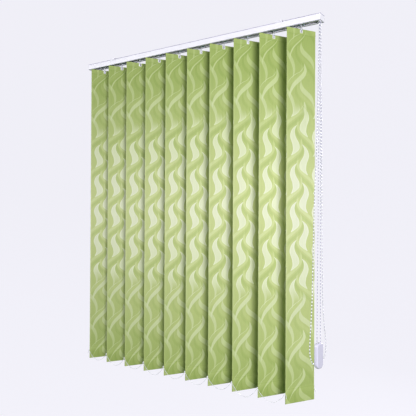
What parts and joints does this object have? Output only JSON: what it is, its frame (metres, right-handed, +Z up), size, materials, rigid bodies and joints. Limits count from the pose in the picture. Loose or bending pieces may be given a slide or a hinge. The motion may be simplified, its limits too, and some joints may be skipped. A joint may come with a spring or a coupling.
{
  "type": "vertical blind",
  "caption": "Vertical blind: fabric vanes on a white head rail, tilted by a bead chain and drawn by a looped cord with a weight.",
  "frame": {"origin": "ceiling plane over the middle of the rail, half way between the two ceiling clips", "axes": "+X along the rail towards the control end, +Y into the wall, +Z up"},
  "size_m": [1.1972, 0.1164, 1.4319],
  "materials": {
    "rail_paint": "satin white enamel with fine lines",
    "white_moulding": "moulded white",
    "spring_steel": "bright rolled sheet",
    "rod_aluminium": "drawn, mill finish",
    "clear_moulding": "clear, slightly milky",
    "carrier_moulding": "moulded acetal, grey",
    "vane_cloth": "green jacquard with pale wavy ribbons",
    "weight_coating": "white coated plate",
    "bead_chain": "white moulded beads on a thread",
    "draw_cord": "white braid",
    "pod_gloss": "pale lavender-grey gloss moulding",
    "steel_slug": "raw"
  },
  "bodies": {
    "root": {"head_rail": "rail_paint", "control_end_cap": "white_moulding", "return_end_cap": "white_moulding", "ceiling_clips": "spring_steel", "tilt_chain": "bead_chain", "traverse_cord": "draw_cord", "cord_weight_front": "pod_gloss", "cord_weight_back": "pod_gloss", "cord_weight_slug": "steel_slug", "carrier_10": "carrier_moulding"},
    "tilt_shaft": {"tilt_rod": "rod_aluminium", "chain_sprocket": "white_moulding"},
    "cord_pulley_front": {"cord_pulley_front": "white_moulding"},
    "cord_pulley_back": {"cord_pulley_back": "white_moulding"},
    "return_pulley": {"return_pulley": "white_moulding"},
    "cord_weight_wheel": {"cord_weight_wheel": "white_moulding"},
    "traveller_01": {"carrier_01": "carrier_moulding"},
    "traveller_02": {"carrier_02": "carrier_moulding"},
    "traveller_03": {"carrier_03": "carrier_moulding"},
    "traveller_04": {"carrier_04": "carrier_moulding"},
    "traveller_05": {"carrier_05": "carrier_moulding"},
    "traveller_06": {"carrier_06": "carrier_moulding"},
    "traveller_07": {"carrier_07": "carrier_moulding"},
    "traveller_08": {"carrier_08": "carrier_moulding"},
    "traveller_09": {"carrier_09": "carrier_moulding"},
    "vane_01": {"hook_01": "clear_moulding", "vane_01": "vane_cloth", "vane_fittings_01": "weight_coating"},
    "vane_02": {"hook_02": "clear_moulding", "vane_02": "vane_cloth", "vane_fittings_02": "weight_coating"},
    "vane_03": {"hook_03": "clear_moulding", "vane_03": "vane_cloth", "vane_fittings_03": "weight_coating"},
    "vane_04": {"hook_04": "clear_moulding", "vane_04": "vane_cloth", "vane_fittings_04": "weight_coating"},
    "vane_05": {"hook_05": "clear_moulding", "vane_05": "vane_cloth", "vane_fittings_05": "weight_coating"},
    "vane_06": {"hook_06": "clear_moulding", "vane_06": "vane_cloth", "vane_fittings_06": "weight_coating"},
    "vane_07": {"hook_07": "clear_moulding", "vane_07": "vane_cloth", "vane_fittings_07": "weight_coating"},
    "vane_08": {"hook_08": "clear_moulding", "vane_08": "vane_cloth", "vane_fittings_08": "weight_coating"},
    "vane_09": {"hook_09": "clear_moulding", "vane_09": "vane_cloth", "vane_fittings_09": "weight_coating"},
    "vane_10": {"hook_10": "clear_moulding", "vane_10": "vane_cloth", "vane_fittings_10": "weight_coating"},
    "bottom_chain_front": {"bottom_chain_front": "bead_chain"},
    "bottom_chain_back": {"bottom_chain_back": "bead_chain"}
  },
  "joints": [
    {"name": "traverse_01", "type": "slide", "parent": "root", "child": "traveller_01", "axis": [1, 0, 0], "range_m": [0, 0.819], "deforming": ["bottom_chain_front", "bottom_chain_back"]},
    {"name": "traverse_02", "type": "slide", "parent": "root", "child": "traveller_02", "axis": [1, 0, 0], "range_m": [0, 0.728]},
    {"name": "traverse_03", "type": "slide", "parent": "root", "child": "traveller_03", "axis": [1, 0, 0], "range_m": [0, 0.637]},
    {"name": "traverse_04", "type": "slide", "parent": "root", "child": "traveller_04", "axis": [1, 0, 0], "range_m": [0, 0.546]},
    {"name": "traverse_05", "type": "slide", "parent": "root", "child": "traveller_05", "axis": [1, 0, 0], "range_m": [0, 0.455]},
    {"name": "traverse_06", "type": "slide", "parent": "root", "child": "traveller_06", "axis": [1, 0, 0], "range_m": [0, 0.364]},
    {"name": "traverse_07", "type": "slide", "parent": "root", "child": "traveller_07", "axis": [1, 0, 0], "range_m": [0, 0.273]},
    {"name": "traverse_08", "type": "slide", "parent": "root", "child": "traveller_08", "axis": [1, 0, 0], "range_m": [0, 0.182]},
    {"name": "traverse_09", "type": "slide", "parent": "root", "child": "traveller_09", "axis": [1, 0, 0], "range_m": [0, 0.091]},
    {"name": "tilt_01", "type": "hinge", "parent": "traveller_01", "child": "vane_01", "pos_m": [-0.5035, 0, -0.017], "axis": [0, 0, 1], "range_deg": [-48, 112]},
    {"name": "tilt_02", "type": "hinge", "parent": "traveller_02", "child": "vane_02", "pos_m": [-0.3905, 0, -0.017], "axis": [0, 0, 1], "range_deg": [-48, 112]},
    {"name": "tilt_03", "type": "hinge", "parent": "traveller_03", "child": "vane_03", "pos_m": [-0.2775, 0, -0.017], "axis": [0, 0, 1], "range_deg": [-48, 112]},
    {"name": "tilt_04", "type": "hinge", "parent": "traveller_04", "child": "vane_04", "pos_m": [-0.1645, 0, -0.017], "axis": [0, 0, 1], "range_deg": [-48, 112]},
    {"name": "tilt_05", "type": "hinge", "parent": "traveller_05", "child": "vane_05", "pos_m": [-0.0515, 0, -0.017], "axis": [0, 0, 1], "range_deg": [-48, 112]},
    {"name": "tilt_06", "type": "hinge", "parent": "traveller_06", "child": "vane_06", "pos_m": [0.0615, 0, -0.017], "axis": [0, 0, 1], "range_deg": [-48, 112]},
    {"name": "tilt_07", "type": "hinge", "parent": "traveller_07", "child": "vane_07", "pos_m": [0.1745, 0, -0.017], "axis": [0, 0, 1], "range_deg": [-48, 112]},
    {"name": "tilt_08", "type": "hinge", "parent": "traveller_08", "child": "vane_08", "pos_m": [0.2875, 0, -0.017], "axis": [0, 0, 1], "range_deg": [-48, 112]},
    {"name": "tilt_09", "type": "hinge", "parent": "traveller_09", "child": "vane_09", "pos_m": [0.4005, 0, -0.017], "axis": [0, 0, 1], "range_deg": [-48, 112]},
    {"name": "tilt_10", "type": "hinge", "parent": "root", "child": "vane_10", "pos_m": [0.5135, 0, -0.017], "axis": [0, 0, 1], "range_deg": [-48, 112]},
    {"name": "tilt_shaft_turn", "type": "hinge", "parent": "root", "child": "tilt_shaft", "pos_m": [0, 0.0082, -0.017], "axis": [1, 0, 0], "range_deg": [-288, 672]},
    {"name": "chain_front_swing", "type": "hinge", "parent": "vane_10", "child": "bottom_chain_front", "pos_m": [0.47852, -0.05597, -1.385], "axis": [0, 0, 1], "range_deg": [-112, 48]},
    {"name": "chain_back_swing", "type": "hinge", "parent": "vane_10", "child": "bottom_chain_back", "pos_m": [0.54848, 0.05597, -1.385], "axis": [0, 0, 1], "range_deg": [-112, 48]},
    {"name": "cord_pulley_front_turn", "type": "hinge", "parent": "root", "child": "cord_pulley_front", "pos_m": [0.5865, -0.0146, -0.0135], "axis": [0, 1, 0], "range_deg": [0, 9386.05]},
    {"name": "cord_pulley_back_turn", "type": "hinge", "parent": "root", "child": "cord_pulley_back", "pos_m": [0.5865, -0.0046, -0.0135], "axis": [0, 1, 0], "range_deg": [-9386.05, 0]},
    {"name": "return_pulley_turn", "type": "hinge", "parent": "root", "child": "return_pulley", "pos_m": [-0.5855, -0.0096, -0.0085], "axis": [0, 0, 1], "range_deg": [0, 9386.05]},
    {"name": "cord_weight_wheel_turn", "type": "hinge", "parent": "root", "child": "cord_weight_wheel", "pos_m": [0.5907, -0.0132, -1.216], "axis": [-0.9763, 0.2164, 0], "range_deg": [0, 4266.93]}
  ],
  "couplings": [
    {"joint": "traverse_02", "follows": "traverse_01", "ratio": 0.88889},
    {"joint": "traverse_03", "follows": "traverse_01", "ratio": 0.77778},
    {"joint": "traverse_04", "follows": "traverse_01", "ratio": 0.66667},
    {"joint": "traverse_05", "follows": "traverse_01", "ratio": 0.55556},
    {"joint": "traverse_06", "follows": "traverse_01", "ratio": 0.44444},
    {"joint": "traverse_07", "follows": "traverse_01", "ratio": 0.33333},
    {"joint": "traverse_08", "follows": "traverse_01", "ratio": 0.22222},
    {"joint": "traverse_09", "follows": "traverse_01", "ratio": 0.11111},
    {"joint": "tilt_02", "follows": "tilt_01", "ratio": 1},
    {"joint": "tilt_03", "follows": "tilt_01", "ratio": 1},
    {"joint": "tilt_04", "follows": "tilt_01", "ratio": 1},
    {"joint": "tilt_05", "follows": "tilt_01", "ratio": 1},
    {"joint": "tilt_06", "follows": "tilt_01", "ratio": 1},
    {"joint": "tilt_07", "follows": "tilt_01", "ratio": 1},
    {"joint": "tilt_08", "follows": "tilt_01", "ratio": 1},
    {"joint": "tilt_09", "follows": "tilt_01", "ratio": 1},
    {"joint": "tilt_10", "follows": "tilt_01", "ratio": 1},
    {"joint": "tilt_shaft_turn", "follows": "tilt_01", "ratio": 6},
    {"joint": "chain_front_swing", "follows": "tilt_01", "ratio": -1},
    {"joint": "chain_back_swing", "follows": "tilt_01", "ratio": -1},
    {"joint": "cord_pulley_front_turn", "follows": "traverse_01", "rad_per_m": 200},
    {"joint": "cord_pulley_back_turn", "follows": "traverse_01", "rad_per_m": -200},
    {"joint": "return_pulley_turn", "follows": "traverse_01", "rad_per_m": 200},
    {"joint": "cord_weight_wheel_turn", "follows": "traverse_01", "rad_per_m": 90.909}
  ]
}
